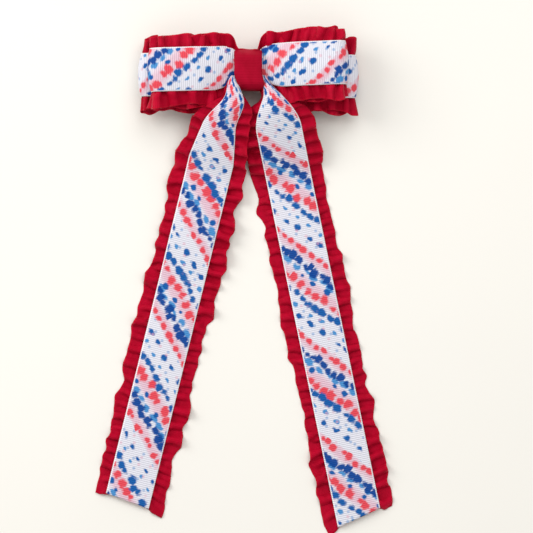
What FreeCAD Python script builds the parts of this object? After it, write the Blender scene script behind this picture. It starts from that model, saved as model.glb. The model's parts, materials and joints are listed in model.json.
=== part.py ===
"""Cheer hair bow: two ruffled loop bands, two ruffled tails, a centre wrap and an alligator clip.

Frame, in millimetres: the bow lies flat, +X to its right, +Y towards the loops' top edge (the tails
run towards -Y) and +Z out of the bow's face. The origin is on the flat back face of the clip's jaw,
straight below the middle of the knot. The surface that the bow lies on is at Z = rest_height.
"""

import FreeCAD, Part
import os
import re

import Sketcher

os.makedirs("parts", exist_ok=True)
doc = FreeCAD.newDocument("cheer_bow")

# Driving dimensions, in millimetres and degrees.
DIMENSIONS = {
    "rest_height": -2.6,  # the surface under the tails and the clip's lever
    "ruffle_thickness": 1.0,  # the gathered red ribbon, with its ripples
    "print_thickness": 0.4,  # grosgrain
    "ruffle_width": 35.0,  # 38 mm ribbon after gathering
    "print_width": 22.0,  # 7/8 in ribbon
    # knot
    "knot_half_width": 6.6,
    "wrap_half_height": 9.7,
    "wrap_thickness": 0.8,  # two turns of grosgrain
    "wrap_low": 2.4,
    "wrap_high": 18.0,
    "wrap_shoulder": 3.4,
    "wrap_low_shoulder": 4.2,
    "wrap_low_rise": 1.6,
    "pinch_ruffle": 8.2,
    "pinch_print": 7.0,
    "thread_half_width": 1.2,
    "thread_thickness": 0.4,
    "thread_play": 0.1,
    # loop bands, as seen from the side
    "back_end": 53.4,
    "back_pinch_low": 5.5,
    "back_pinch_high": 9.6,
    "back_knee": 20.5,
    "back_knee_low": 7.6,
    "back_knee_high": 11.4,
    "back_end_low": 1.4,
    "back_end_high": 12.2,
    "back_tip_height": 8.75,
    "back_offset": -1.9,
    "front_end": 48.0,
    "front_pinch_low": 9.7,
    "front_pinch_high": 13.8,
    "front_knee": 26.0,
    "front_knee_low": 12.2,
    "front_knee_high": 20.6,
    "front_end_low": 12.8,
    "front_end_high": 21.8,
    "front_tip_height": 13.8,
    "front_offset": 3.5,
    "front_tilt": 1.9,
    "hollow_start": 15.0,
    "flare_start": 14.0,
    "flare_end": 28.0,
    "first_flare": 0.06,  # how much wider a band is at flare_start, as a share of its width
    "plan_margin": 9.0,  # how far a band's plan runs past its end
    # tails
    "tail_root_height": 15.4,
    "tail_crest_height": 17.4,
    "tail_brow_height": 16.8,
    "tail_start": 6.0,
    "tail_level": 3.5,
    "tail_crest": 8.0,
    "tail_brow": 14.0,
    "tail_foot": 52.0,
    "tail_reach": 240.0,
    "bridge_height": 2.4,  # how far the left tail lies over the right one near the knot
    "bridge_end": 80.0,
    "bridge_foot": 100.0,
    "left_pivot": 6.7,
    "right_pivot": 7.5,
    "pivot_drop": 3.0,
    "left_angle": 13.9,
    "right_angle": 11.7,
    "left_shift": 1.2,
    "right_shift": 2.0,
    # a tail's gathered top: half round about its pivot, a narrow neck beside the wrap, then a fan
    "ruffle_root": 1.2,
    "print_root": 0.9,
    "neck_inner_drop": 7.6,
    "ruffle_neck_inner": -0.5,
    "print_neck_inner": -0.8,
    "neck_outer_drop": 6.0,
    "ruffle_neck_outer": 2.7,
    "print_neck_outer": 2.3,
    "fan_start_drop": 12.4,
    "ruffle_fan_start": 7.4,
    "print_fan_start": 5.6,
    "fan_inner_drop": 16.5,
    "ruffle_fan_inner": 12.0,
    "print_fan_inner": 7.0,
    "fan_outer_drop": 20.0,
    "ruffle_fan_outer": 14.4,
    "print_fan_outer": 11.0,
    "full_inner_drop": 50.0,
    "full_outer_drop": 42.0,
    "left_outer_cut": 210.2,
    "left_inner_cut": 214.2,
    "right_outer_cut": 214.8,
    "right_inner_cut": 222.9,
    # clip
    "sheet_thickness": 0.8,
    "clip_width": 8.0,
    "clip_nose": 28.0,
    "glue_half_length": 5.2,
    "glue_thickness": 0.9,
    "glue_inset": 0.5,
    "pin_place": 9.5,
    "pin_height": 2.1,
    "pin_radius": 0.8,
    "pin_clearance": 0.05,
    "pin_half_length": 4.5,
    "head_radius": 1.15,
    "head_thickness": 0.4,
    "ear_radius": 1.2,
    "inner_ear": 2.2,
    "outer_ear": 3.2,
    "lever_start": 11.2,
    "lever_end": 19.5,
    "lever_lean": 0.2,
    "lever_rise": 0.72,
    "coil_radius": 1.05,
    "wire_radius": 0.17,
    "coil_pitch": 0.48,
    "coil_length": 2.88,
}

sheet = doc.addObject("Spreadsheet::Sheet", "P")
for row, (alias, number) in enumerate(DIMENSIONS.items(), start=1):
    sheet.set("A%d" % row, alias)
    sheet.set("B%d" % row, repr(number))
    sheet.setAlias("B%d" % row, alias)
doc.recompute()

# The top of the clip's arm, which is the jaw's mirror image across the pin.
ARM_HIGH = "(2 * pin_height)"

# Reaches past everything when a shape is cut to its outline.
FAR = 400.0


def cells(text):
    """An expression on the sheet's cells, from one that names only their aliases."""
    return re.sub(r"[a-z_]+", lambda word: "P." + word[0] if word[0] in DIMENSIONS else word[0], text)


def bind(thing, path, text):
    thing.setExpression(path, cells(text))


def now(text):
    """What an expression gives with the present dimensions."""
    return float(sheet.evalExpression(cells(text)))


def minus(text):
    return "-(%s)" % text


# ---------------------------------------------------------------- sketches and features
#
# An outline is a list that goes anticlockwise round a shape. Each item is a corner (across, up) or a
# half-round cap (centre across, centre up, radius, the way it faces).

RIGHT, LEFT, TOP = (1, 0), (-1, 0), (0, 1)


def corners_of(outline):
    """Each item's corners, with the cap that they belong to."""
    for item in outline:
        if len(item) == 2:
            yield item, None
        else:
            across, up, radius, (right, top) = item
            for turn in (-1, 1):
                end_across = "%s + (%d) * (%s)" % (across, -turn * top, radius)
                end_up = "%s + (%d) * (%s)" % (up, turn * right, radius)
                yield (end_across, end_up), item


def add_outline(sketch, outline):
    corners = list(corners_of(outline))
    count = len(corners)
    first = sketch.GeometryCount
    places = [FreeCAD.Vector(now(across), now(up), 0) for (across, up), _ in corners]
    for index, (_, cap) in enumerate(corners):
        follower = (index + 1) % count
        if cap is not None and corners[follower][1] is cap:
            across, up, radius, (right, top) = cap
            edge = FreeCAD.Vector(now(across) + right * now(radius), now(up) + top * now(radius), 0)
            shape = Part.Arc(places[index], edge, places[follower])
        else:
            shape = Part.LineSegment(places[index], places[follower])
        sketch.addGeometry(shape, False)
    for index in range(count):
        follower = first + (index + 1) % count
        sketch.addConstraint(Sketcher.Constraint("Coincident", first + index, 2, follower, 1))
    for index, (corner, cap) in enumerate(corners):
        if cap is None:
            place_point(sketch, first + index, 1, corner)
        elif corners[(index + 1) % count][1] is cap:
            across, up, radius, facing = cap
            place_point(sketch, first + index, 3, (across, up))
            number = sketch.addConstraint(Sketcher.Constraint("Radius", first + index, now(radius)))
            bind(sketch, "Constraints[%d]" % number, radius)
            level = "Horizontal" if facing == TOP else "Vertical"
            for end in (1, 2):
                sketch.addConstraint(Sketcher.Constraint(level, first + index, 3, first + index, end))


def place_point(sketch, geometry, point, corner):
    """Ties one point of a sketch to the sheet, measured from the sketch's origin."""
    for kind, text in zip(("DistanceX", "DistanceY"), corner):
        number = sketch.addConstraint(Sketcher.Constraint(kind, -1, 1, geometry, point, now(text)))
        bind(sketch, "Constraints[%d]" % number, text)


def new_body(label):
    body = doc.addObject("PartDesign::Body", label)
    body.Label = label
    return body


def new_sketch(body, role, name, *outlines):
    sketch = body.newObject("Sketcher::SketchObject", body.Label + "_" + name)
    origin_plane = next(f for f in body.Origin.OriginFeatures if f.Role == role)
    sketch.AttachmentSupport = (origin_plane, [""])
    sketch.MapMode = "FlatFace"
    for outline in outlines:
        add_outline(sketch, outline)
    return sketch


def pad(body, sketch, length):
    """A pad to both sides of its sketch."""
    feature = body.newObject("PartDesign::Pad", sketch.Name + "_pad")
    feature.Profile = sketch
    feature.SideType = "Symmetric"
    bind(feature, "Length", length)
    return feature


def cut(body, sketch):
    """A cut right through, to both sides of its sketch."""
    feature = body.newObject("PartDesign::Pocket", sketch.Name + "_cut")
    feature.Profile = sketch
    feature.SideType = "Symmetric"
    feature.Length = 2 * FAR
    return feature


def trim_to(body, name, outline):
    """Keeps only what is inside an outline drawn on the XY plane."""
    reach = str(FAR)
    frame = [(minus(reach), minus(reach)), (reach, minus(reach)), (reach, reach), (minus(reach), reach)]
    cut(body, new_sketch(body, "XY_Plane", name, frame, outline))


def both_halves(half):
    """A whole outline from its right half, which goes from the low end to the high end."""
    other = []
    for item in reversed(half):
        if len(item) == 2:
            other.append((minus(item[0]), item[1]))
        else:
            other.append((minus(item[0]), item[1], item[2], LEFT))
    return half + other


# ---------------------------------------------------------------- loop bands


def band_cap(which, inset, side=1):
    """The half-round end of a band."""
    low, high = which + "_end_low", which + "_end_high"
    radius = "(%s - %s) / 2" % (high, low)
    across = "%s - %s" % (which + "_end", radius)
    middle = "(%s + %s) / 2" % (low, high)
    if side > 0:
        return across, middle, radius + " - " + inset, RIGHT
    return minus(across), middle, radius + " - " + inset, LEFT


def band_outline(which, inset):
    """A band from the side, pinched in the middle, with its face moved in by inset."""
    half = [
        ("knot_half_width", "%s_pinch_low + %s" % (which, inset)),
        (which + "_knee", "%s_knee_low + %s" % (which, inset)),
        band_cap(which, inset),
        (which + "_knee", "%s_knee_high - %s" % (which, inset)),
        ("knot_half_width", "%s_pinch_high - %s" % (which, inset)),
    ]
    return both_halves(half)


def band_hollow(which, side):
    """The open space inside one half of a band."""
    wall = "(print_thickness + ruffle_thickness)"
    knee = which + "_knee" if side > 0 else minus(which + "_knee")
    start = "hollow_start" if side > 0 else minus("hollow_start")
    low = (knee, "%s_knee_low + %s" % (which, wall))
    high = (knee, "%s_knee_high - %s" % (which, wall))
    cap = band_cap(which, wall, side)
    around = [low, cap, high] if side > 0 else [high, cap, low]
    return [(start, which + "_tip_height")] + around


def band_plan(which, width, pinch):
    """A band from above: gathered and centred in the wrap, full width and set off to one side outside."""
    first = "%s + first_flare * %s" % (pinch, width)
    end = "%s_end + plan_margin" % which
    half = [
        ("knot_half_width", minus(pinch)),
        ("flare_start", "%s_offset - (%s)" % (which, first)),
        ("flare_end", "%s_offset - %s / 2" % (which, width)),
        (end, "%s_offset - %s / 2" % (which, width)),
        (end, "%s_offset + %s / 2" % (which, width)),
        ("flare_end", "%s_offset + %s / 2" % (which, width)),
        ("flare_start", "%s_offset + %s" % (which, first)),
        ("knot_half_width", pinch),
    ]
    return both_halves(half)


def place_band(body, which):
    """Tilts the front band, whose right end is the higher one."""
    if which == "front":
        bind(body, "Placement.Rotation.Angle", "front_tilt")


def loop_ruffle(which):
    body = new_body("loop_ruffle_" + which)
    side = new_sketch(body, "XZ_Plane", "side", band_outline(which, "print_thickness"))
    pad(body, side, "2 * ruffle_width")
    cut(body, new_sketch(body, "XZ_Plane", "hollow_right", band_hollow(which, 1)))
    cut(body, new_sketch(body, "XZ_Plane", "hollow_left", band_hollow(which, -1)))
    trim_to(body, "plan", band_plan(which, "ruffle_width", "pinch_ruffle"))
    place_band(body, which)
    return body


def loop_print(which):
    body = new_body("loop_print_" + which)
    face, back = band_outline(which, "0"), band_outline(which, "print_thickness")
    pad(body, new_sketch(body, "XZ_Plane", "side", face, back), "2 * print_width")
    trim_to(body, "plan", band_plan(which, "print_width", "pinch_print"))
    place_band(body, which)
    return body


# ---------------------------------------------------------------- tails
#
# Each tail is drawn straight down from its pivot at the knot's side and then turned outwards.


def tail_side(name, low, high):
    """A tail from the side, between two heights above its own back face."""
    crest, brow = "tail_crest_height", "tail_brow_height"
    if name == "left":
        crest += " + bridge_height / 2"
        brow += " + bridge_height"
    route = [
        ("tail_start", "tail_root_height"),
        (minus("tail_level"), "tail_root_height"),
        (minus("tail_crest"), crest),
        (minus("tail_brow"), brow),
    ]
    if name == "left":
        route.append((minus("tail_foot"), "rest_height + bridge_height"))
        route.append((minus("bridge_end"), "rest_height + bridge_height"))
        route.append((minus("bridge_foot"), "rest_height"))
    else:
        route.append((minus("tail_foot"), "rest_height"))
    route.append((minus("tail_reach"), "rest_height"))
    bottom = [(along, "%s + %s" % (height, low)) for along, height in reversed(route)]
    top = [(along, "%s + %s" % (height, high)) for along, height in route]
    return bottom + top


def tail_plan(name, kind):
    """A tail's ruffle or print from above, with its gathered top half round about the pivot."""
    width = kind + "_width"
    outer = "%s_shift + %s / 2" % (name, width)
    inner = "%s_shift - %s / 2" % (name, width)
    slope = "(%s_inner_cut - %s_outer_cut) / ruffle_width" % (name, name)
    half_more = "%s * (ruffle_width - %s) / 2" % (slope, width)
    points = [
        ("0", "0", kind + "_root", TOP),
        (minus(kind + "_neck_inner"), minus("neck_inner_drop")),
        (minus(kind + "_fan_inner"), minus("fan_inner_drop")),
        (inner, minus("full_inner_drop")),
        (inner, minus("%s_inner_cut - %s" % (name, half_more))),
        (outer, minus("%s_outer_cut + %s" % (name, half_more))),
        (outer, minus("full_outer_drop")),
        (kind + "_fan_outer", minus("fan_outer_drop")),
        (kind + "_fan_start", minus("fan_start_drop")),
        (kind + "_neck_outer", minus("neck_outer_drop")),
    ]
    if name == "left":
        points = [(minus(item[0]),) + item[1:] for item in reversed(points)]
    return points


def place_tail(body, name):
    sign = 1 if name == "right" else -1
    bind(body, "Placement.Base.x", "%d * %s_pivot" % (sign, name))
    bind(body, "Placement.Base.y", minus("pivot_drop"))
    bind(body, "Placement.Rotation.Angle", "%d * %s_angle" % (sign, name))


def tail_ruffle(name):
    body = new_body("tail_ruffle_" + name)
    side = new_sketch(body, "YZ_Plane", "side", tail_side(name, "0", "ruffle_thickness"))
    pad(body, side, "3 * ruffle_width")
    trim_to(body, "plan", tail_plan(name, "ruffle"))
    place_tail(body, name)
    return body


def tail_print(name):
    body = new_body("tail_print_" + name)
    heights = tail_side(name, "ruffle_thickness", "(ruffle_thickness + print_thickness)")
    pad(body, new_sketch(body, "YZ_Plane", "side", heights), "3 * ruffle_width")
    trim_to(body, "plan", tail_plan(name, "print"))
    place_tail(body, name)
    return body


# ---------------------------------------------------------------- knot


def ring_outline(inset):
    """The centre wrap in section: flat on top and narrow where it passes between the clip's halves."""
    wide = "wrap_half_height - " + inset
    half = [
        ("wrap_half_height - wrap_low_shoulder - %s / 2" % inset, "wrap_low + " + inset),
        (wide, "wrap_low + wrap_low_rise + %s / 2" % inset),
        (wide, "wrap_high - wrap_shoulder"),
        ("wrap_half_height - wrap_shoulder", "wrap_high - " + inset),
    ]
    return both_halves(half)


def centre_wrap():
    body = new_body("centre_wrap")
    section = new_sketch(body, "YZ_Plane", "section", ring_outline("0"), ring_outline("wrap_thickness"))
    pad(body, section, "2 * knot_half_width")
    return body


def thread_outline(thickness):
    """The thread round the pinched bands, which it meets below and above."""
    half = [
        ("pinch_ruffle + thread_play + " + thickness, "back_pinch_low - " + thickness),
        ("pinch_ruffle + thread_play + " + thickness, "front_pinch_high + " + thickness),
    ]
    return both_halves(half)


def waist_thread():
    body = new_body("waist_thread")
    outlines = thread_outline("thread_thickness"), thread_outline("0")
    pad(body, new_sketch(body, "YZ_Plane", "section", *outlines), "2 * thread_half_width")
    return body


def glue_pad():
    pad_box = doc.addObject("Part::Box", "glue_pad")
    pad_box.Label = "glue_pad"
    bind(pad_box, "Length", "2 * glue_half_length")
    bind(pad_box, "Width", "clip_width - 2 * glue_inset")
    bind(pad_box, "Height", "glue_thickness")
    bind(pad_box, "Placement.Base.x", minus("glue_half_length"))
    bind(pad_box, "Placement.Base.y", minus("clip_width / 2 - glue_inset"))
    bind(pad_box, "Placement.Base.z", ARM_HIGH)
    return pad_box


# ---------------------------------------------------------------- clip
#
# Two strips of sheet steel face each other across the pin. The arm is the jaw turned over.


def half_clip(label, upper):
    """One strip, with its flat jaw, its two ears round the pin and its bent lever."""
    body = new_body(label)

    def height(text):
        return "2 * pin_height - (%s)" % text if upper else text

    strip = [
        (minus("clip_nose"), height("0")),
        ("lever_start", height("0")),
        ("lever_end", height("rest_height")),
        ("lever_end + lever_lean", height("rest_height + lever_rise")),
        ("lever_start + lever_lean", height("sheet_thickness")),
        (minus("clip_nose"), height("sheet_thickness")),
    ]
    pad(body, new_sketch(body, "XZ_Plane", "strip", strip), "clip_width")
    gap = "inner_ear" if upper else "outer_ear"
    hole = "pin_radius" if upper else "pin_radius + pin_clearance"
    ears = doc.addObject("Part::MultiFuse", label + "_ears")
    shapes = []
    for side in (1, -1):
        web = doc.addObject("Part::Box", "%s_web_%d" % (label, len(shapes)))
        bind(web, "Length", "2 * ear_radius")
        bind(web, "Width", "sheet_thickness")
        bind(web, "Height", "pin_height - sheet_thickness / 2")
        bind(web, "Placement.Base.x", "pin_place - ear_radius")
        low = gap if side > 0 else minus(gap + " + sheet_thickness")
        bind(web, "Placement.Base.y", low)
        bind(web, "Placement.Base.z", "pin_height" if upper else "sheet_thickness / 2")
        disc = doc.addObject("Part::Cylinder", "%s_disc_%d" % (label, len(shapes)))
        bind(disc, "Radius", "ear_radius")
        bind(disc, "Height", "sheet_thickness")
        lay_along_y(disc, "pin_place", low, "pin_height")
        shapes += [web, disc]
    ears.Shapes = shapes + [body]
    bore = doc.addObject("Part::Cylinder", label + "_bore")
    bind(bore, "Radius", hole)
    bind(bore, "Height", "2 * clip_width")
    lay_along_y(bore, "pin_place", minus("clip_width"), "pin_height")
    drilled = doc.addObject("Part::Cut", label + "_drilled")
    drilled.Base = ears
    drilled.Tool = bore
    body.Label = label + "_strip"
    drilled.Label = label
    return drilled


def lay_along_y(thing, across, along, up):
    """Turns a shape that was made along Z so that it runs along +Y from a point."""
    thing.Placement = FreeCAD.Placement(FreeCAD.Vector(), FreeCAD.Rotation(FreeCAD.Vector(1, 0, 0), -90))
    bind(thing, "Placement.Base.x", across)
    bind(thing, "Placement.Base.y", along)
    bind(thing, "Placement.Base.z", up)


def clip_pin():
    shapes = []
    sizes = [
        ("pin_radius", "2 * pin_half_length", minus("pin_half_length")),
        ("head_radius", "head_thickness", "pin_half_length - head_thickness"),
        ("head_radius", "head_thickness", minus("pin_half_length")),
    ]
    for number, (radius, length, start) in enumerate(sizes):
        piece = doc.addObject("Part::Cylinder", "pin_piece_%d" % number)
        bind(piece, "Radius", radius)
        bind(piece, "Height", length)
        lay_along_y(piece, "pin_place", start, "pin_height")
        shapes.append(piece)
    pin = doc.addObject("Part::MultiFuse", "clip_pin")
    pin.Shapes = shapes
    pin.Label = "clip_pin"
    return pin


def clip_spring():
    """The coil of the torsion spring, loose round the pin between the arm's ears."""
    coil = doc.addObject("Part::Helix", "spring_coil")
    bind(coil, "Pitch", "coil_pitch")
    bind(coil, "Height", "coil_length")
    bind(coil, "Radius", "coil_radius")
    wire = doc.addObject("Part::Circle", "spring_wire")
    bind(wire, "Radius", "wire_radius")
    wire.Placement.Rotation = FreeCAD.Rotation(FreeCAD.Vector(1, 0, 0), 90)
    bind(wire, "Placement.Base.x", "coil_radius")
    sweep = doc.addObject("Part::Sweep", "spring_sweep")
    sweep.Sections = [wire]
    sweep.Spine = (coil, [])
    sweep.Solid = True
    sweep.Frenet = True
    lay_along_y(sweep, "pin_place", minus("coil_length / 2"), "pin_height")
    sweep.Label = "clip_spring"
    return sweep


def check_document():
    for thing in doc.Objects:
        if "Invalid" in thing.State or "Error" in thing.State:
            raise RuntimeError("%s failed: %s" % (thing.Label, thing.State))


def write(pieces):
    doc.recompute()
    check_document()
    for piece in pieces:
        shape = piece.Shape
        if shape.isNull() or not shape.isValid() or len(shape.Solids) != 1:
            raise RuntimeError("%s is not one valid solid" % piece.Label)
        box = shape.BoundBox
        size = (box.XMin, box.XMax, box.YMin, box.YMax, box.ZMin, box.ZMax)
        print(piece.Label, "%.1f mm3" % shape.Volume, " ".join("%.2f" % side for side in size))
        shape.exportStep("parts/%s.step" % piece.Label)


pieces = []
for which in ("back", "front"):
    pieces += [loop_ruffle(which), loop_print(which)]
for name in ("left", "right"):
    pieces += [tail_ruffle(name), tail_print(name)]
pieces += [centre_wrap(), waist_thread(), glue_pad()]
pieces += [half_clip("clip_arm", True), half_clip("clip_jaw", False), clip_pin(), clip_spring()]
write(pieces)
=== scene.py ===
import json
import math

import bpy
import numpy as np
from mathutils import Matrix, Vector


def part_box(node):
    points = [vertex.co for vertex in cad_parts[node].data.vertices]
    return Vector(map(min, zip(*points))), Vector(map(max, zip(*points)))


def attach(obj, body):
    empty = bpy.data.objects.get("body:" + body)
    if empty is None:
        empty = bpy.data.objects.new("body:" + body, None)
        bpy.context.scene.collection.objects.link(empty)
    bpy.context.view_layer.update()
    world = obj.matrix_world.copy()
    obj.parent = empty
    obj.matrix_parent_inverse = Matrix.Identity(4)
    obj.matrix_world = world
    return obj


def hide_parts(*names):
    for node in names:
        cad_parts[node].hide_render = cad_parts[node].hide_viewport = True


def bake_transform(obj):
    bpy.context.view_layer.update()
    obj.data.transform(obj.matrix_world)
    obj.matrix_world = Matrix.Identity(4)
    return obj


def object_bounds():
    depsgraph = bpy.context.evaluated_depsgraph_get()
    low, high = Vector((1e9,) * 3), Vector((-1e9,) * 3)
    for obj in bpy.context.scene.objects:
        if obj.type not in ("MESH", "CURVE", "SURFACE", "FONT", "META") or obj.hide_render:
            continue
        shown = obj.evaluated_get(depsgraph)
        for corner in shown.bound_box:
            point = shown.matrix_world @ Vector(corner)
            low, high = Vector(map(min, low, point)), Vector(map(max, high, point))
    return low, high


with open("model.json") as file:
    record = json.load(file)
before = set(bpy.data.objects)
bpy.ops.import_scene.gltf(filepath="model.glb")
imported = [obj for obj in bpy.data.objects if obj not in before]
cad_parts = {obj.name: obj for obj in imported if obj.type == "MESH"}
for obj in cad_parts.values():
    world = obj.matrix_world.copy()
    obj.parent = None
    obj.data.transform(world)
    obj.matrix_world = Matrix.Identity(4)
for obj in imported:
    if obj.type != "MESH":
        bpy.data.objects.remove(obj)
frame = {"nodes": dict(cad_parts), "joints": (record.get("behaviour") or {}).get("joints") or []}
cad_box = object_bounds()

# A cheer hair bow: two ruffled loop bands, two ruffled tails, a wrapped knot and a spring clip.
#
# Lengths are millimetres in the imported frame's axes, and mesh() turns them into metres. Only the
# lights and the camera are placed in metres. Places come from the frame: the boxes of its nodes and
# the pivots of its joints. A ribbon is a path, and each point of its cloth is three numbers: u along
# the path, v across it and n off the path's face.

MM = 0.001
PRINT_HALF = 11.0  # half the printed ribbon's 22 mm
RED_HALF = 19.0  # half the red ribbon's 38 mm
STITCH = 9.0  # where the red ribbon is sewn down, each side of its middle
GATHER = 1.35  # the red ribbon's own length over the length it is gathered to
RIB = 0.97  # grosgrain's rib pitch
PRINT_SHEET = 0.34  # grosgrain's thickness
RED_SHEET = 0.26  # satin-faced ribbon's thickness
DROOP = 0.4  # how far a ruffle that does not spread out sinks instead, as a share of its width
PRESSED = 0.55  # the share of their height that ruffles keep where they can't spread
FULL_CURL = 3.0  # at this curl a ribbon's edges have turned all the way back
EDGE_TURN = 1.15  # radians that a fully curled edge has turned through
WING_COLUMNS = 13  # the ruffles' mesh, from the stitched line to the edge
CLOTH_STEP = 0.72  # the ruffles' mesh, along the ribbon
PRINT_COLUMNS = 25  # the printed ribbon's mesh, across
MIDDLE_COLUMNS = 13  # the ruffles' mesh, between the two stitched lines
SEWN_GAP = 0.1  # between the printed ribbon and its path
NOISE_KNOTS = 1024


def mm_box(node):
    """A CAD node's lowest and highest corners, in millimetres."""
    low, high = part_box(node)
    return np.array(low) / MM, np.array(high) / MM


def pivot(joint_name):
    joint = next(j for j in frame["joints"] if j["name"] == joint_name)
    return np.array(joint["pos_m"], float) / MM


TABLE = cad_box[0][2] / MM  # the height of the surface that the bow lies on


# ---------------------------------------------------------------- curves


def smooth(x, low, high):
    t = np.clip((np.asarray(x, float) - low) / (high - low), 0, 1)
    return t * t * (3 - 2 * t)


def rounded(x, low, high):
    """Rises from 0 at low to 1 at high like a quarter of an ellipse."""
    t = np.clip((np.asarray(x, float) - low) / (high - low), 0, 1)
    return np.sqrt(1 - (1 - t) ** 2)


def unit(v):
    return v / np.maximum(np.linalg.norm(v, axis=-1, keepdims=True), 1e-9)


def arc_length(line):
    return np.concatenate([[0], np.cumsum(np.linalg.norm(np.diff(line, axis=0), axis=1))])


def noise_line(x, seed, scale):
    """Smooth noise along a line, from -1 to 1, with waves about scale long."""
    knots = np.random.default_rng(seed).uniform(-1, 1, NOISE_KNOTS)
    place = np.asarray(x, float) / scale + 64
    i = np.floor(place).astype(int)
    f = place - i
    f = f * f * (3 - 2 * f)
    return knots[i % NOISE_KNOTS] * (1 - f) + knots[(i + 1) % NOISE_KNOTS] * f


def flowing(corners, closed, softness, step=0.5):
    """A line through corners whose turns are eased over about softness, as cloth bends."""
    line = np.array(list(corners) + ([corners[0]] if closed else []), float)
    s = arc_length(line)
    count = int(s[-1] / step)
    at = np.arange(count) * s[-1] / count if closed else np.linspace(0, s[-1], count)
    even = np.stack([np.interp(at, s, column) for column in line.T], axis=-1)
    reach = int(3 * softness / step)
    weights = np.exp(-0.5 * (np.arange(-reach, reach + 1) * step / softness) ** 2)
    weights /= weights.sum()
    if closed:
        padded = np.concatenate([even[-reach:], even, even[:reach]])
    else:
        start = 2 * even[0] - even[reach:0:-1]
        end = 2 * even[-1] - even[-2 : -reach - 2 : -1]
        padded = np.concatenate([start, even, end])
    return np.stack([np.convolve(column, weights, mode="valid") for column in padded.T], axis=-1)


class Ribbon:
    """The path of a ribbon.

    centre, across: the path's points and the direction across it, towards v > 0.
    half: half the printed ribbon's width as it lies. curl: how far its edges roll back.
    low_wing, high_wing: the share of the red ribbon's free width that spreads on each side.
    low_tuck, high_tuck: how far the red ribbon's two edges are pushed down, or up where negative.
    room: how freely the ruffles stand off the face.
    """

    def __init__(self, centre, across, half, curl, low_wing, high_wing, low_tuck, high_tuck, room, closed):
        whole = np.concatenate([centre, centre[:1]]) if closed else centre
        self.s = arc_length(whole)
        self.length = self.s[-1]
        self.closed = closed
        if closed:
            ahead = np.roll(centre, -1, axis=0) - np.roll(centre, 1, axis=0)
        else:
            ahead = np.gradient(centre, axis=0)
        normal = unit(np.cross(unit(ahead), unit(across)))
        sides = [low_wing, high_wing, low_tuck, high_tuck]
        table = np.column_stack([centre, unit(across), normal, half, curl, *sides, room])
        self.table = np.concatenate([table, table[:1]]) if closed else table

    def place(self, u, v, n):
        """The points for the cloth coordinates u, v and n, which are arrays of one shape."""
        s = u % self.length if self.closed else u
        at = np.stack([np.interp(s, self.s, column) for column in self.table.T], axis=-1)
        centre, across, normal = at[..., 0:3], at[..., 3:6], at[..., 6:9]
        half, curl, low_wing, high_wing, low_tuck, high_tuck, room = (at[..., k] for k in range(9, 16))
        t = np.clip(v / PRINT_HALF, -1, 1)
        over = np.maximum(np.abs(v) - PRINT_HALF, 0)
        wing = np.where(v > 0, high_wing, low_wing)
        bent = np.clip(curl / FULL_CURL, 0, 1)
        side = half * (t * (1 - bent) + np.sin(EDGE_TURN * t) / math.sin(EDGE_TURN) * bent)
        side = side + np.sign(v) * over * wing
        drop = curl * (1 - np.cos(EDGE_TURN * t)) / (1 - math.cos(EDGE_TURN))
        drop = drop + DROOP * over * np.sqrt(np.maximum(1 - wing**2, 0))
        drop = drop + np.where(v > 0, high_tuck, low_tuck) * over / (RED_HALF - PRINT_HALF)
        loose = PRESSED + (1 - PRESSED) * np.minimum(wing, 1)
        stand = n * loose * np.where(n > 0, room, 1)
        return centre + across * side[..., None] + normal * (stand - drop)[..., None]


# ---------------------------------------------------------------- gathered cloth


def links_of(rows, columns, di, dj, closed):
    """The cloth's links that go di along and dj across, in groups that share no point."""
    i, j = np.meshgrid(np.arange(rows), np.arange(columns), indexing="ij")
    fits = (j + dj >= 0) & (j + dj < columns)
    if not closed:
        fits &= i + di < rows
    i, j = i[fits], j[fits]
    group = (i // di) % 2 if di else (j // dj) % 2
    first = i * columns + j
    second = ((i + di) % rows) * columns + j + dj
    return [(first[group == g], second[group == g]) for g in (0, 1)]


# Steps along and across, and stiffness: the weave, its shear, and its resistance to folding.
WEAVE = ((1, 0, 1.0), (0, 1, 1.0), (1, 1, 0.5), (1, -1, 0.5), (0, 2, 0.3))
CLOSEST = 0.35  # how near two points may come along the ribbon, as a share of their spacing
ROW_MULTIPLE = 12  # on a closed band the links of 1, 2 and 3 steps then fall into two groups
STEPS = 360
KEPT_SPEED = 0.86  # of each step's movement, in the next
GROWING = 0.6  # the share of the steps over which the cloth grows
UNDER_PRINT = -0.12  # n of the cloth's highest place under the printed ribbon
FREE_HEIGHT = 8.0  # room for the ruffles past the print's edge


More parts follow.
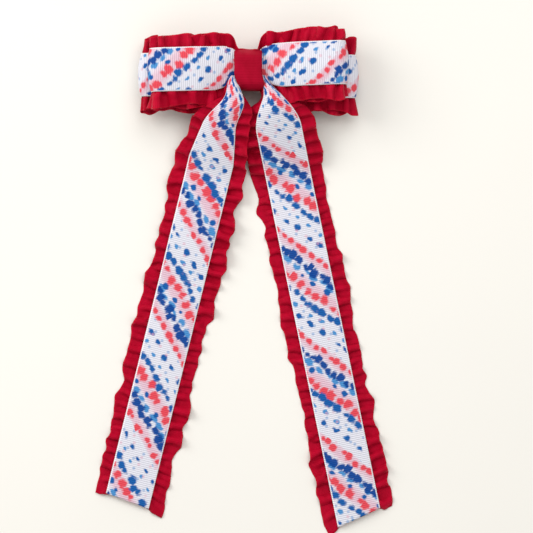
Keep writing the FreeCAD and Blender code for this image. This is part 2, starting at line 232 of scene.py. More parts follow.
def gathered_wing(length, seed, floor, closed, folding):
    """The free part of a gathered ribbon, from its stitched line to its edge, relaxed as cloth.

    The stitched line keeps the gathered length while the cloth grows to its own length, so it
    buckles into ruffles over the floor and under the printed ribbon. folding is its resistance to
    narrow folds. Returns a grid of (u, v, n) points.
    """
    rows = int(round(length / CLOTH_STEP / ROW_MULTIPLE)) * ROW_MULTIPLE
    spacing = length / rows if closed else length / (rows - 1)
    columns = WING_COLUMNS
    pitch = (RED_HALF - STITCH) / (columns - 1)
    along = np.arange(rows) * spacing
    reach = np.linspace(0, 1, columns)

    # The start: a puckered stitched line, and first waves that the growing cloth deepens.
    pucker = 0.85 * noise_line(along, seed + 2, 1.5)
    wave = noise_line(along, seed, 2.2 + 12 * folding) + 0.5 * noise_line(along, seed + 1, 7.0)
    start = np.zeros((rows, columns, 3))
    start[..., 0] = along[:, None]
    start[..., 1] = STITCH + (RED_HALF - STITCH) * reach
    start[..., 2] = pucker[:, None] - 0.95 + 0.8 * wave[:, None] * reach
    start = start.reshape(-1, 3)
    x, old = start.copy(), start.copy()
    fixed = np.tile(reach == 0, rows)
    free = np.where(fixed, 0.0, 1.0)

    # How much longer the cloth gets: uneven along the ribbon, and full from a quarter of the way out.
    fullness = (GATHER - 1) * (1 + 0.25 * noise_line(along, seed + 3, 17.0))
    growth = (fullness[:, None] * np.clip(reach * 4, 0, 1)[None, :]).ravel()
    groups = [
        (di, dj, stiff, first, second)
        for di, dj, stiff in WEAVE + ((2, 0, folding), (3, 0, folding / 2))
        for first, second in links_of(rows, columns, di, dj, closed)
    ]
    steps = STEPS
    for step in range(steps):
        more = 1 + growth * min(1.0, step / (GROWING * steps))
        x, old = x + (x - old) * KEPT_SPEED * free[:, None], x.copy()
        for di, dj, stiff, first, second in groups:
            gap = x[second] - x[first]
            if closed:
                gap[:, 0] -= length * np.round(gap[:, 0] / length)
            far = np.maximum(np.linalg.norm(gap, axis=1), 1e-6)
            run = di * spacing * (more[first] + more[second]) / 2
            pull = stiff * (far - np.hypot(run, dj * pitch)) / far
            if di > 1 or dj > 1:
                pull = np.minimum(pull, 0)
            share = pull / np.maximum(free[first] + free[second], 1e-6)
            x[first] += gap * (share * free[first])[:, None]
            x[second] -= gap * (share * free[second])[:, None]
            if (di, dj) == (1, 0):  # neighbours along the ribbon never pass each other
                crowded = np.maximum(CLOSEST * spacing - gap[:, 0], 0) / 2
                x[first, 0] -= crowded * free[first]
                x[second, 0] += crowded * free[second]
        ceiling = UNDER_PRINT + FREE_HEIGHT * smooth(x[:, 1], PRINT_HALF + 0.2, PRINT_HALF + 2.4)
        x[:, 2] = np.clip(x[:, 2], floor, ceiling)
        x[fixed] = start[fixed]
    return x.reshape(rows, columns, 3)


# ---------------------------------------------------------------- meshes


def mesh(name, points, faces, cloth=None):
    """A smooth piece. cloth holds each point's own u and v on its ribbon, for its material."""
    data = bpy.data.meshes.new(name)
    data.from_pydata((np.asarray(points) * MM).tolist(), [], faces)
    data.polygons.foreach_set("use_smooth", [True] * len(data.polygons))
    if cloth is not None:
        attribute = data.attributes.new("cloth", "FLOAT_VECTOR", "POINT")
        attribute.data.foreach_set("vector", (np.asarray(cloth) * MM).astype(np.float32).ravel())
    data.update()
    piece = bpy.data.objects.new(name, data)
    bpy.context.scene.collection.objects.link(piece)
    return piece


def sheet_mesh(name, points, cloth, closed, thickness):
    """A sheet with two faces and a rim, from a grid of points that runs along and across it."""
    rows, columns = points.shape[:2]
    if closed:
        run = np.roll(points, -1, axis=0) - np.roll(points, 1, axis=0)
    else:
        run = np.gradient(points, axis=0)
    normal = unit(np.cross(run, np.gradient(points, axis=1)))
    face = (points + normal * thickness / 2).reshape(-1, 3)
    back = (points - normal * thickness / 2).reshape(-1, 3)
    below = rows * columns
    i, j = np.meshgrid(np.arange(rows if closed else rows - 1), np.arange(columns - 1), indexing="ij")
    a = (i * columns + j).ravel()
    b = (((i + 1) % rows) * columns + j).ravel()
    quads = np.column_stack([a, b, b + 1, a + 1])
    low = np.arange(rows if closed else rows - 1) * columns
    ahead = (low + columns) % below
    high, high_ahead = low + columns - 1, ahead + columns - 1
    faces = [quads, quads[:, ::-1] + below]
    faces.append(np.column_stack([ahead, low, low + below, ahead + below]))
    faces.append(np.column_stack([high, high_ahead, high_ahead + below, high + below]))
    if not closed:
        k = np.arange(columns - 1)
        last = k + (rows - 1) * columns
        faces.append(np.column_stack([k, k + 1, k + 1 + below, k + below]))
        faces.append(np.column_stack([last + 1, last, last + below, last + 1 + below]))
    marks = np.concatenate([cloth.reshape(-1, 2), np.zeros((below, 1))], axis=1)
    both = np.concatenate([face, back])
    return mesh(name, both, np.concatenate(faces).tolist(), np.concatenate([marks, marks]))


def to_end(u, length, end):
    """Changes u, mostly near the sheet's end, so that a sheet of a given length ends on a slanted
    cut. end is where the cut is for each u."""
    return u * (end.mean() / length) + (end - end.mean()) * smooth(u, 0.8 * length, length)


def printed_sheet(name, ribbon, start, way=1, end_of=None):
    """The printed ribbon on a path. way is -1 where the print runs the other way up, and end_of(v)
    is where a tail is cut."""
    v = np.linspace(-PRINT_HALF, PRINT_HALF, PRINT_COLUMNS)
    rows = int(ribbon.length)  # about one for each millimetre
    u = np.arange(rows) * ribbon.length / (rows if ribbon.closed else rows - 1)
    u, v = np.meshgrid(u, v, indexing="ij")
    if end_of is not None:
        u = to_end(u, ribbon.length, end_of(v))
    points = ribbon.place(u, v, np.full(u.shape, SEWN_GAP + PRINT_SHEET / 2))
    cloth = np.stack([start + way * u, way * v], axis=-1)
    return sheet_mesh(name, points, cloth, ribbon.closed, PRINT_SHEET)


def ruffle_sheet(name, ribbon, seed, floor, folding, end_of=None):
    """The gathered red ribbon on a path: a puckered middle and two relaxed wings.

    folding: the resistance to narrow folds of the wing at v < 0 and of the one at v > 0.
    """
    low = gathered_wing(ribbon.length, seed, floor, ribbon.closed, folding[0])[:, ::-1] * [1, -1, 1]
    high = gathered_wing(ribbon.length, seed + 40, floor, ribbon.closed, folding[1])
    rows = len(low)
    inner = np.linspace(-STITCH, STITCH, MIDDLE_COLUMNS)[1:-1]
    t = (inner + STITCH) / (2 * STITCH)
    middle = np.zeros((rows, len(inner), 3))
    middle[..., 0] = high[:, :1, 0]
    middle[..., 1] = inner
    middle[..., 2] = low[:, -1:, 2] * (1 - t) + high[:, :1, 2] * t
    coords = np.concatenate([low, middle, high], axis=1)
    wing = np.linspace(STITCH, RED_HALF, WING_COLUMNS)
    across = np.concatenate([-wing[::-1], inner, wing])
    u = coords[..., 0]
    if end_of is not None:
        u = to_end(u, ribbon.length, end_of(coords[..., 1]))
    points = ribbon.place(u, coords[..., 1], coords[..., 2])
    points[..., 2] = np.maximum(points[..., 2], TABLE + RED_SHEET)
    along = high[:, 0, 0] * GATHER
    cloth = np.stack(np.meshgrid(along, across, indexing="ij"), axis=-1)
    return sheet_mesh(name, points, cloth, ribbon.closed, RED_SHEET)


# ---------------------------------------------------------------- loop bands

wrap_low, wrap_high = mm_box("centre_wrap")
thread_low, thread_high = mm_box("waist_thread")
KNOT = wrap_high[0]  # half the knot's width
THREAD = 0.4  # the thread's thickness
stack_low = thread_low[2] + THREAD  # the two pinched bands share the height inside the thread
stack_high = thread_high[2] - THREAD
stack_middle = (stack_low + stack_high) / 2

PINCH_HALF = 5.3  # half the print's width as it lies in the knot
PINCH_WING = 0.27  # the share of a ruffle's width that spreads in the knot
LOW_WING = 0.93  # and on the open loops' lower side
FLAT_CURL = 0.35  # how far a ribbon's edges roll back where it lies open
KNOT_CURL = 2.1  # and how much more at the knot
TIGHT_ROOM = 0.25  # the ruffles' freedom on a loop's underside, where the cloth is pressed


def band(node, pinch, knee, knee_heights, open_half, spread, sag, high_wing, flare, open_room, seed):
    """A loop band, whose size and tilt are those of its CAD print.

    pinch: the heights of its two runs in the knot. knee: how far out it opens, and knee_heights
    their heights there. open_half: half the print's width as it lies on the open loops. spread:
    how far out it reaches that. sag: how far its left and its right loop have slipped down the
    picture. high_wing: the share of its upper ruffle's width that spreads. flare: how far its lower
    ruffle stands out at the ends. open_room: the ruffles' freedom on its upper face.
    """
    low, high = mm_box(node)
    middle_y = (low[1] + high[1]) / 2
    slope = (high[1] - low[1] - 2 * PRINT_HALF) / (high[0] - low[0])
    reach = (high[0] - low[0]) / 2
    radius = (high[2] - low[2]) / 2
    mid = (high[2] + low[2]) / 2

    # The path from the side: pinched at the knot, then a knee, and a half round at each end.
    turns = np.linspace(0, math.pi, 13)
    cap = [(reach - radius + radius * math.sin(a), mid - radius * math.cos(a)) for a in turns]
    lower = [(KNOT, pinch[0]), (knee, knee_heights[0])]
    upper = [(knee, knee_heights[1]), (KNOT, pinch[1])]
    right = lower + cap + upper
    left = [(-x, z) for x, z in reversed(right)]
    side = flowing(right + left, closed=True, softness=1.8)[::-1]
    x, z = side[:, 0], side[:, 1]

    # From above: how far out each point is, and how far its loop has opened and slipped there.
    out = np.abs(x)
    opened = smooth(out, KNOT, spread)
    y = middle_y * (0.7 + 0.3 * opened) + slope * x
    y = y - np.where(x < 0, sag[0], sag[1]) * opened
    half = PINCH_HALF + (open_half - PINCH_HALF) * rounded(out, KNOT - 1.5, spread)
    on_top = smooth(z, mid - radius / 2, mid + radius / 2)
    open_curl = FLAT_CURL + 2 * (PRINT_HALF - open_half)
    curl = open_curl + KNOT_CURL * on_top * (1 - smooth(out, KNOT, spread + 6))

    # The ruffles' spread is uneven along the band.
    walk = arc_length(side)
    lean = 1 + 0.24 * noise_line(walk, seed, 9.0) + 0.07 * noise_line(walk, seed + 1, 4.5)
    upper_wing = (PINCH_WING + (high_wing - PINCH_WING) * rounded(out, KNOT - 1, spread - 4)) * lean
    lower_wing = (PINCH_WING + (LOW_WING - PINCH_WING) * rounded(out, KNOT, spread)) * lean[::-1]
    room = TIGHT_ROOM + (open_room - TIGHT_ROOM) * on_top
    low_tuck = -flare * smooth(out, reach - 2 * radius, reach - radius / 2)
    zero = np.zeros(len(x))
    across = np.column_stack([zero - slope, zero + 1, zero])
    centre = np.column_stack([x, y, z])
    return Ribbon(centre, across, half, curl, lower_wing, upper_wing, low_tuck, zero, room, closed=True)


back_band = band(
    "loop_print_back",
    pinch=(stack_low, stack_middle),
    knee=20.5,
    knee_heights=(7.6, 11.2),
    open_half=10.4,
    spread=22.0,
    sag=(0.2, 1.0),
    high_wing=0.95,
    flare=1.8,
    open_room=0.5,
    seed=71,
)
front_band = band(
    "loop_print_front",
    pinch=(stack_middle, stack_high),
    knee=24.0,
    knee_heights=(12.6, 20.4),
    open_half=10.5,
    spread=17.0,
    sag=(2.4, 1.7),
    high_wing=0.8,
    flare=3.4,
    open_room=1.0,
    seed=75,
)


# ---------------------------------------------------------------- tails

LIFT = 2.3  # a tail's printed ribbon over the table, held up by its ruffles
TAIL_ROOT = 1.2  # half the printed ribbon's width where it leaves the knot
LENGTHEN = 12.0  # a path runs past its tail's cut, so that slanted ends have somewhere to lie
ROOT_DROP = 0.6  # how far the root lies under its pivot
BROW = (7.0, 1.4)  # how far down a tail turns over, and how far that is under its crest
CREST = 13.0  # how far down it lies highest
SHOULDER = (20.0, 2.5)  # where it has left the loops, and how far that is under its crest
LANDED = 50.0  # how far down it reaches the table, or its twin
BRIDGE_END, BRIDGE_FOOT = 80.0, 102.0  # where it starts to come off its twin, and where it is off
ROOT_WING = 0.15  # the share of a ruffle's width that spreads at the root
OUTER_WING = 0.82  # and down the outer side
NECK_CURL = 1.3  # how much further the edges roll back where the tail passes over the loops
RAISED, TUCKED = -1.3, 2.6  # the inner edges, where one tail's ruffle lies over the other's


def tail(name, angle, shift, sway, fan, swell, bridge, inner_wing, seed):
    """A tail's path and where it is cut, from its pivot and its CAD print's box.

    angle: how far it is splayed, in degrees. shift: how far its middle lies outside the line
    through the pivot, and sway: how far its neck swings back in. fan: how far down it reaches full
    width, and swell: how much its sides round out on the way, from 0 to 1. bridge: how far it lies
    on its twin. inner_wing: the share of its inner ruffle's width that spreads.
    """
    side = 1 if name == "right" else -1
    root = pivot(name + "_tail_swing")
    low, high = mm_box("tail_print_" + name)

    # Seen from above, the cut's two corners are where the CAD print's box ends.
    turn = math.radians(angle)
    down = np.array([side * math.sin(turn), -math.cos(turn)])
    out = np.array([side * math.cos(turn), math.sin(turn)])
    farthest = high[0] if side > 0 else low[0]
    outer_length = (farthest - root[0] - (shift + PRINT_HALF) * out[0]) / down[0]
    inner_length = (low[1] - root[1] - (shift - PRINT_HALF) * out[1]) / down[1]

    # From the side: over the loops, then down to the table or on to its twin.
    rest = TABLE + LIFT
    crest = high[2]
    corners = [(0, root[2] - ROOT_DROP), (BROW[0], crest - BROW[1]), (CREST, crest)]
    corners += [(SHOULDER[0], crest - SHOULDER[1]), (LANDED, rest + bridge)]
    if bridge:
        corners += [(BRIDGE_END, rest + bridge), (BRIDGE_FOOT, rest)]
    corners.append((max(inner_length, outer_length) + LENGTHEN, rest))
    line = flowing(corners, closed=False, softness=3.2)
    d, z = line[:, 0], line[:, 1]
    aside = shift * smooth(d, 0, 11) - sway * smooth(d, 0, 11) * (1 - smooth(d, 11, 26))
    centre = np.column_stack([root[:2] + d[:, None] * down + aside[:, None] * out, z])

    straight = np.clip(d / fan, 0, 1) ** 0.75
    opened = straight + (smooth(d, 0, fan) - straight) * swell
    half = TAIL_ROOT + (PRINT_HALF - TAIL_ROOT) * opened
    curl = FLAT_CURL + NECK_CURL * smooth(d, 0, 5) * (1 - smooth(d, 14, fan + 16))

    # The ruffles' spread is uneven along the tail.
    lean = 1 + 0.17 * noise_line(d, seed, 9.0) + 0.12 * noise_line(d, seed + 1, 4.0)
    inner = (ROOT_WING + (inner_wing - ROOT_WING) * smooth(d, 6, 20)) * lean
    outer = (ROOT_WING + (OUTER_WING - ROOT_WING) * smooth(d, 7, 26)) * lean[::-1]
    tuck = (RAISED if bridge else TUCKED) * smooth(d, 6, 14) * (1 - smooth(d, 60, 84))
    zero = np.zeros(len(d))
    across = np.column_stack([zero + side * out[0], zero + side * out[1], zero])
    wings = (inner, outer, tuck, zero) if side > 0 else (outer, inner, zero, tuck)
    ribbon = Ribbon(centre, across, half, curl, *wings, zero + 1, closed=False)

    def end_of(v):
        """Where the cut crosses each v, along the path."""
        share = (side * v + PRINT_HALF) / (2 * PRINT_HALF)
        length = inner_length + (outer_length - inner_length) * share
        return np.interp(length, d, ribbon.s)

    return ribbon, end_of


left_tail, left_end = tail(
    "left", angle=13.9, shift=1.2, sway=4.0, fan=42.0, swell=0.0, bridge=2.4, inner_wing=0.92, seed=81
)
right_tail, right_end = tail(
    "right", angle=11.7, shift=2.0, sway=0.0, fan=27.0, swell=1.0, bridge=0.0, inner_wing=0.8, seed=85
)


# ---------------------------------------------------------------- materials


def srgb(red, green, blue):
    """A linear colour from the 0 to 255 values that a screen shows."""

    def linear(c):
        c = c / 255
        return c / 12.92 if c <= 0.04045 else ((c + 0.055) / 1.055) ** 2.4

    return (linear(red), linear(green), linear(blue), 1.0)


class Nodes:
    """A material under construction, with short ways to add its nodes."""

    def __init__(self, name, **settings):
        self.material = bpy.data.materials.new(name)
        self.material.use_nodes = True
        self.tree = self.material.node_tree
        self.shader = self.tree.nodes["Principled BSDF"]
        for socket, value in settings.items():
            self.shader.inputs[socket.replace("_", " ")].default_value = value

    def add(self, kind, inputs=(), **settings):
        node = self.tree.nodes.new(kind)
        for key, value in settings.items():
            setattr(node, key, value)
        for socket, value in dict(inputs).items():
            self.set(node.inputs[socket], value)
        return node

    def set(self, socket, value):
        if isinstance(value, bpy.types.NodeSocket):
            self.tree.links.new(value, socket)
        else:
            socket.default_value = value

    def math(self, operation, *values):
        node = self.add("ShaderNodeMath", operation=operation)
        for socket, value in zip(node.inputs, values):
            self.set(socket, value)
        return node.outputs[0]

    def ramp(self, value, low, high, from_=0.0, to=1.0):
        """from_ below low and to above high, with a soft step between."""
        inputs = {0: value, 1: low, 2: high, 3: from_, 4: to}
        return self.add("ShaderNodeMapRange", inputs, interpolation_type="SMOOTHSTEP").outputs[0]

    def mix(self, share, under, over):
        inputs = {0: share, 6: under, 7: over}
        return self.add("ShaderNodeMix", inputs, data_type="RGBA").outputs[2]

    def noise(self, place, scale, detail=2.0):
        inputs = {"Vector": place, "Scale": scale, "Detail": detail}
        return self.add("ShaderNodeTexNoise", inputs).outputs[0]

    def vector(self, x, y, z=0.0):
        return self.add("ShaderNodeCombineXYZ", {0: x, 1: y, 2: z}).outputs[0]

    def finish(self, colour, roughness, height, distance):
        bump = self.add("ShaderNodeBump", {"Height": height, "Distance": distance, "Strength": 1.0})
        self.set(self.shader.inputs["Base Color"], colour)
        self.set(self.shader.inputs["Roughness"], roughness)
        self.set(self.shader.inputs["Normal"], bump.outputs[0])
        return self.material

    def cloth(self):
        """u and v on the ribbon, in millimetres."""
        marks = self.add("ShaderNodeAttribute", attribute_name="cloth").outputs["Vector"]
        parts = self.add("ShaderNodeSeparateXYZ", {0: marks})
        return self.math("DIVIDE", parts.outputs[0], MM), self.math("DIVIDE", parts.outputs[1], MM)

    def ribs(self, u, pitch):
        """0 to 1 across each rib of a weave."""
        wave = self.math("SINE", self.math("MULTIPLY", u, 2 * math.pi / pitch))
        return self.math("MULTIPLY_ADD", wave, 0.5, 0.5)


REPEAT = 51.0  # the print's repeat along the ribbon
ROW_SLANT = 42.0  # degrees between the print's rows and the ribbon
CORAL = srgb(234, 74, 86)
BLUE = srgb(0, 92, 170)
DEEP_BLUE = srgb(0, 70, 152)
LIGHT_BLUE = srgb(74, 146, 208)
HAZE = srgb(230, 172, 190)
GROUND = srgb(230, 230, 240)
SELVEDGE = srgb(240, 240, 244)
# Painted shade: the dark blue that the printed ribbon's rib grooves are darkened towards.
PRINT_GROOVE_SHADE = srgb(20, 26, 60)
# Painted shade: the deep red that the red ribbons' rib grooves are darkened towards.
RED_GROOVE_SHADE = srgb(128, 0, 16)
RED_SELVEDGE = srgb(206, 20, 44)
WANDER = 2.6  # how far the rows of dabs wander off straight
HAZE_FRAY = 3.0  # how far the pink hazes' edges are frayed
DAB_FRAY = 1.9  # and the dabs', as a share of their size
UNEVEN_SIZE = 0.55  # how much smaller some dabs are than others
TURN_SHIFT, ROW_SHIFT = 7.3, 11.7  # so that no two repeats and no two rows have the same dabs

# Rows of dabs, the later over the earlier: where a row lies in the repeat, its dabs' pitch, their
# half sizes across and along the row, how ragged they are, and their colour. All are measured
# square to the rows.
ROWS = (
    (2.0, 4.2, 1.6, 1.9, 0.7, CORAL),
    (9.9, 5.0, 1.6, 2.5, 0.8, LIGHT_BLUE),
    (7.5, 3.4, 2.1, 2.6, 0.8, DEEP_BLUE),
    (12.6, 9.6, 1.3, 1.6, 0.7, BLUE),
    (16.4, 4.6, 2.2, 2.3, 0.8, CORAL),
    (20.8, 4.3, 1.8, 2.5, 0.8, BLUE),
    (25.4, 7.4, 1.0, 1.5, 0.8, LIGHT_BLUE),
    (29.2, 7.0, 1.2, 1.7, 0.8, BLUE),
)
HAZES = ((2.6, 5.4), (15.0, 7.4))  # where pink has spread into the cloth, and how far


def printed_material():
    """White grosgrain with slanted rows of tie-dye dabs, and painted shade in the grooves between its ribs.
    """
    n = Nodes("printed_grosgrain", Specular_IOR_Level=0.12)
    u, v = n.cloth()
    place = n.vector(u, v)
    wobble = n.math("SUBTRACT", n.noise(place, 0.13), 0.5)
    fray = n.math("SUBTRACT", n.noise(n.vector(u, n.math("MULTIPLY", v, 0.5)), 0.8, 3.0), 0.5)

    # turn counts the repeats and q is the place across the rows within one.
    slant = math.radians(ROW_SLANT)
    across_row = n.math("MULTIPLY_ADD", v, -math.cos(slant), n.math("MULTIPLY", u, math.sin(slant)))
    across_row = n.math("MULTIPLY_ADD", wobble, WANDER, across_row)
    along_row = n.math("MULTIPLY_ADD", v, math.sin(slant), n.math("MULTIPLY", u, math.cos(slant)))
    repeat = REPEAT * math.sin(slant)
    turn = n.math("FLOOR", n.math("DIVIDE", across_row, repeat))
    q = n.math("MULTIPLY_ADD", turn, -repeat, across_row)

    colour = GROUND
    for centre, width in HAZES:
        off = n.math("ABSOLUTE", n.math("SUBTRACT", q, centre))
        off = n.math("MULTIPLY_ADD", fray, HAZE_FRAY, off)
        colour = n.mix(n.ramp(off, width * 0.15, width * 0.75, 0.65, 0.0), colour, HAZE)
    for number, (centre, pitch, wide, long, ragged, dab_colour) in enumerate(ROWS):
        cell = n.math("MULTIPLY_ADD", turn, TURN_SHIFT, n.math("DIVIDE", along_row, pitch))
        inputs = {"W": n.math("ADD", cell, ROW_SHIFT * number), "Scale": 1.0, "Randomness": 0.6}
        dab = n.add("ShaderNodeTexVoronoi", inputs, voronoi_dimensions="1D")
        chance = n.add("ShaderNodeSeparateXYZ", {0: dab.outputs["Color"]})
        along = n.math("DIVIDE", n.math("MULTIPLY", dab.outputs["Distance"], pitch), long)
        aside = n.math("MULTIPLY_ADD", chance.outputs[1], wide, centre - wide / 2)
        off = n.math("DIVIDE", n.math("SUBTRACT", q, aside), wide)
        far = n.math("SQRT", n.math("ADD", n.math("MULTIPLY", along, along), n.math("MULTIPLY", off, off)))
        far = n.math("MULTIPLY_ADD", fray, DAB_FRAY * ragged, far)
        far = n.math("MULTIPLY_ADD", chance.outputs[0], UNEVEN_SIZE, far)
        colour = n.mix(n.ramp(far, 0.8, 1.4, 0.99, 0.0), colour, dab_colour)

    # A few small specks in the quiet part of the repeat, then painted shade in the grooves between the
    # ribs, and the white edge.
    specks = n.add("ShaderNodeTexVoronoi", {"Vector": place, "Scale": 0.22}, voronoi_dimensions="2D")
    fleck = n.ramp(specks.outputs["Distance"], 0.1, 0.22, 0.5, 0.0)
    quiet = n.ramp(q, 21.0, 24.0)
    pick = n.add("ShaderNodeSeparateXYZ", {0: specks.outputs["Color"]}).outputs[0]
    fleck_colour = n.mix(n.ramp(pick, 0.6, 0.62), LIGHT_BLUE, HAZE)
    colour = n.mix(n.math("MULTIPLY", fleck, quiet), colour, fleck_colour)
    ribs = n.ribs(u, RIB)
    # Painted shade: the grooves between the ribs are darkened by up to a quarter, towards a dark blue.
    groove_shade = n.math("MULTIPLY", n.math("SUBTRACT", 1.0, ribs), 0.24)
    colour = n.mix(groove_shade, colour, PRINT_GROOVE_SHADE)
    selvedge = n.ramp(n.math("ABSOLUTE", v), PRINT_HALF - 0.8, PRINT_HALF - 0.4)
    colour = n.mix(n.math("MULTIPLY", selvedge, 0.9), colour, SELVEDGE)
    roughness = n.math("MULTIPLY_ADD", fray, 0.15, 0.66)
    return n.finish(colour, roughness, ribs, 0.00018)


def red_material(name, rib, sheen, roughness, dark, light):
    """Red ribbon with a fine rib and painted shade in its grooves, dye that is uneven between two tones,
    and a soft gloss.
    """
    n = Nodes(
        name,
        Sheen_Weight=sheen,
        Sheen_Roughness=0.45,
        Sheen_Tint=(0.9, 0.05, 0.12, 1),
        Specular_IOR_Level=0.4,
        Specular_Tint=(1.0, 0.12, 0.22, 1),
    )
    u, v = n.cloth()
    place = n.vector(u, v)
    ribs = n.ribs(u, rib)
    dye = n.noise(n.vector(n.math("MULTIPLY", u, 0.5), v), 0.22, 4.0)
    colour = n.mix(n.ramp(dye, 0.3, 0.7), dark, light)
    # Painted shade: the grooves between the ribs are darkened towards a deep red.
    colour = n.mix(n.math("MULTIPLY", n.math("SUBTRACT", 1.0, ribs), 0.3), colour, RED_GROOVE_SHADE)
    selvedge = n.ramp(n.math("ABSOLUTE", v), RED_HALF - 0.9, RED_HALF - 0.5)
    colour = n.mix(n.math("MULTIPLY", selvedge, 0.4), colour, RED_SELVEDGE)
    uneven = n.math("MULTIPLY_ADD", n.noise(place, 1.6), 0.16, roughness - 0.08)
    height = n.math("MULTIPLY_ADD", n.noise(place, 2.4), 0.4, ribs)
    return n.finish(colour, uneven, height, 0.0001)


def hard_material(name, dark, light, scale, roughness, bump, **settings):
    """Metal, glue or thread: mottled between two tones, in the CAD node's own coordinates.

    scale: how fine the mottling is along each axis, per metre. bump: its height, in metres.
    """
    n = Nodes(name, **settings)
    place = n.add("ShaderNodeTexCoord").outputs["Object"]
    stretch = n.add("ShaderNodeMapping", {"Vector": place, "Scale": scale}).outputs[0]
    grain = n.noise(stretch, 1.0, 4.0)
    colour = n.mix(grain, dark, light)
    return n.finish(colour, n.math("MULTIPLY_ADD", grain, 0.25, roughness - 0.12), grain, bump)


def cover(thing, material):
    thing.data.materials.clear()
    thing.data.materials.append(material)


printed = printed_material()
red = red_material(
    "red_ruffle_ribbon", rib=0.62, sheen=0.06, roughness=0.45, dark=srgb(164, 0, 32), light=srgb(184, 3, 42)
)
wrap_red = red_material(
    "red_wrap_grosgrain", rib=0.75, sheen=0.04, roughness=0.6, dark=srgb(150, 2, 32), light=srgb(166, 5, 40)
)


# ---------------------------------------------------------------- soft pieces


def dress(ruffle, ribbon_piece, ruffle_node, print_node, held, rests_on, length):
    """Gives a ruffle and its printed ribbon their materials, and hides the CAD nodes that they stand in
    for.
    """
    cover(ruffle, red)
    cover(ribbon_piece, printed)
    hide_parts(ruffle_node)
    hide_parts(print_node)


# Resistance to narrow folds, on each side: the loops' lower edge ruffles more finely than their upper.
LOOP_FOLDING = (0.14, 0.3)
TAIL_FOLDING = (0.14, 0.14)
LOOP_FLOOR = -2.6  # n of the loops' ruffles at their lowest
TAIL_FLOOR = 0.25 - LIFT  # and of the tails', just over the table
WRAP_SHEET = 0.5  # the wrap's folded grosgrain
WRAP_COLUMNS = 21
WRAP_TAPER = 0.07
WRAP_PULL = 1.6


def loop(which, ribbon, seed, start):
    ruffle = ruffle_sheet(which + "_loop_ruffle", ribbon, seed, LOOP_FLOOR, LOOP_FOLDING)
    ribbon_piece = printed_sheet(which + "_loop_ribbon", ribbon, start)
    for piece in (ruffle, ribbon_piece):
        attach(piece, "bow")
    nodes = ("loop_ruffle_" + which, "loop_print_" + which)
    dress(ruffle, ribbon_piece, *nodes, "folded", ["centre_wrap"], ribbon.length)


def hanging_tail(name, ribbon, end_of, seed, start, way):
    ruffle = ruffle_sheet(name + "_tail_ruffle", ribbon, seed, TAIL_FLOOR, TAIL_FOLDING, end_of)
    ribbon_piece = printed_sheet(name + "_tail_ribbon", ribbon, start, way, end_of)
    for piece in (ruffle, ribbon_piece):
        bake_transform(piece)
    nodes = ("tail_ruffle_" + name, "tail_print_" + name)
    dress(ruffle, ribbon_piece, *nodes, "laid", ["centre_wrap"], float(end_of(np.zeros(1))[0]))


def wrapped_knot():
    """The short ribbon wound round the knot: ribbed, crowned and a little dished at its edges."""
    # Its outline from the end of the knot, inside the CAD wrap's box.
    middle_y = (wrap_low[1] + wrap_high[1]) / 2
    tall = (wrap_high[1] - wrap_low[1]) / 2 - 0.3
    low, high = wrap_low[2] + 0.4, wrap_high[2] - 0.2
    corner = [(0.55 * tall, low), (tall, low + 3.0), (tall, high - 3.4), (0.7 * tall, high)]
    outline = corner + [(-y, z) for y, z in reversed(corner)]
    ring = flowing(outline, closed=True, softness=1.1, step=0.3)
    ahead = np.roll(ring, -1, axis=0) - np.roll(ring, 1, axis=0)
    outward = unit(np.column_stack([ahead[:, 1], -ahead[:, 0]]))

    # Across it: a crown that falls off at the edges, with lengthwise creases that come and go.
    t = np.linspace(-1, 1, WRAP_COLUMNS)
    s = arc_length(ring)
    crease = noise_line(t * 9, 5, 2.3)[None, :] * 0.12 + noise_line(t * 9, 6, 1.1)[None, :] * 0.05
    fade = 0.5 + 0.5 * noise_line(s, 8, 7.0)[:, None]
    off = 0.35 - 0.9 * np.abs(t[None, :]) ** 5 + crease * fade

    below = -ring[:, 0]  # its lower end is a little narrower, and pulled to the right
    narrow = KNOT * (1 - WRAP_TAPER * smooth(below, 4, tall))
    pulled = WRAP_PULL * smooth(below, 1, tall)
    points = np.zeros((len(ring), WRAP_COLUMNS, 3))
    points[..., 0] = narrow[:, None] * t[None, :] + pulled[:, None]
    points[..., 1] = middle_y + ring[:, :1] + outward[:, :1] * off
    points[..., 2] = ring[:, 1:] + outward[:, 1:] * off
    cloth = np.stack(np.meshgrid(s, t * KNOT, indexing="ij"), axis=-1)
    piece = sheet_mesh("knot_wrap", points, cloth, True, WRAP_SHEET)
    cover(piece, wrap_red)
    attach(piece, "bow")
    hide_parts("centre_wrap")


# start is where in the print a ribbon begins, and way is the direction that the print then runs.
loop("back", back_band, seed=23, start=31.0)
loop("front", front_band, seed=11, start=3.0)
hanging_tail("right", right_tail, right_end, seed=53, start=14.0, way=1)
hanging_tail("left", left_tail, left_end, seed=37, start=240.0, way=-1)
wrapped_knot()


# ---------------------------------------------------------------- the clip and what holds the knot

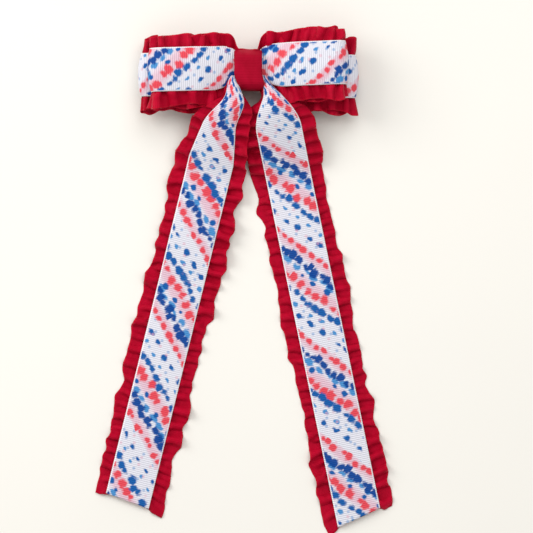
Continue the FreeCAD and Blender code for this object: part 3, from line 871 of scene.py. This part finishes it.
steel = hard_material(
    "nickel_plated_steel",
    dark=srgb(160, 160, 162),
    light=srgb(200, 200, 201),
    scale=(70, 1400, 1400),
    roughness=0.3,
    bump=0.00001,
    Metallic=1.0,
)
wire = hard_material(
    "drawn_spring_wire",
    dark=srgb(105, 105, 108),
    light=srgb(165, 165, 168),
    scale=(2500, 2500, 2500),
    roughness=0.35,
    bump=0.00001,
    Metallic=1.0,
)
glue = hard_material(
    "hot_glue",
    dark=srgb(226, 220, 196),
    light=srgb(242, 238, 222),
    scale=(420, 420, 420),
    roughness=0.35,
    bump=0.0002,
    Transmission_Weight=0.25,
)
thread = hard_material(
    "twisted_thread",
    dark=srgb(130, 6, 26),
    light=srgb(200, 24, 50),
    scale=(400, 3200, 3200),
    roughness=0.7,
    bump=0.00012,
    Sheen_Weight=0.4,
)
for node, material in (
    ("clip_arm", steel), ("clip_jaw", steel), ("clip_pin", steel),
    ("clip_spring", wire), ("glue_pad", glue), ("waist_thread", thread),
):
    cover(frame["nodes"][node], material)


# ---------------------------------------------------------------- floor, light and camera

FLOOR_HALF = 4000.0
CAMERA_DISTANCE = 1.4  # metres above the table
VIEW = 1.051  # the picture's width over the bow's height
ASIDE, ABOVE = 0.044, 0.024  # the picture's middle from the bow's, as shares of the picture's width
WORLD_LIGHT = 0.66


def floor():
    n = Nodes("pale_floor", Specular_IOR_Level=0.1)
    place = n.add("ShaderNodeTexCoord").outputs["Object"]
    grain = n.noise(place, 6.0, 3.0)
    material = n.finish(n.mix(grain, srgb(233, 230, 224), srgb(238, 236, 229)), 0.9, grain, 0.00002)
    far = FLOOR_HALF
    corners = [(-far, -far, TABLE), (far, -far, TABLE), (far, far, TABLE), (-far, far, TABLE)]
    piece = mesh("floor", corners, [(0, 1, 2, 3)])
    cover(piece, material)


def soft_light(name, place, size, power, colour):
    """A round area light, in metres and watts, that faces the bow's middle."""
    light = bpy.data.lights.new(name, "AREA")
    light.shape = "DISK"
    light.size = size
    light.energy = power
    light.color = colour
    holder = bpy.data.objects.new(name, light)
    holder.location = place
    aim = Vector(((cad_box[0][0] + cad_box[1][0]) / 2, (cad_box[0][1] + cad_box[1][1]) / 2, 0))
    holder.rotation_euler = (aim - holder.location).to_track_quat("-Z", "Y").to_euler()
    bpy.context.scene.collection.objects.link(holder)


def set_camera():
    """Straight above, from far away, with the bow a little left of the picture's middle and below it."""
    view_width = VIEW * (cad_box[1][1] - cad_box[0][1])
    lens = bpy.data.cameras.new("camera")
    lens.sensor_width = 36.0
    lens.lens = lens.sensor_width * CAMERA_DISTANCE / view_width
    lens.clip_end = 20.0
    camera = bpy.data.objects.new("camera", lens)
    middle_x = (cad_box[0][0] + cad_box[1][0]) / 2 + ASIDE * view_width
    middle_y = (cad_box[0][1] + cad_box[1][1]) / 2 + ABOVE * view_width
    camera.location = (middle_x, middle_y, CAMERA_DISTANCE + TABLE * MM)
    bpy.context.scene.collection.objects.link(camera)
    bpy.context.scene.camera = camera


floor()
soft_light("key", (-0.75, 0.35, 0.62), size=0.7, power=5.8, colour=(1.0, 0.985, 0.97))
soft_light("fill", (0.2, 0.45, 1.0), size=0.9, power=5.2, colour=(0.985, 0.99, 1.0))
world = bpy.data.worlds.new("studio")
world.use_nodes = True
world.node_tree.nodes["Background"].inputs["Color"].default_value = (1.0, 0.99, 0.97, 1.0)
world.node_tree.nodes["Background"].inputs["Strength"].default_value = WORLD_LIGHT
bpy.context.scene.world = world
bpy.context.scene.view_settings.view_transform = "Standard"
set_camera()
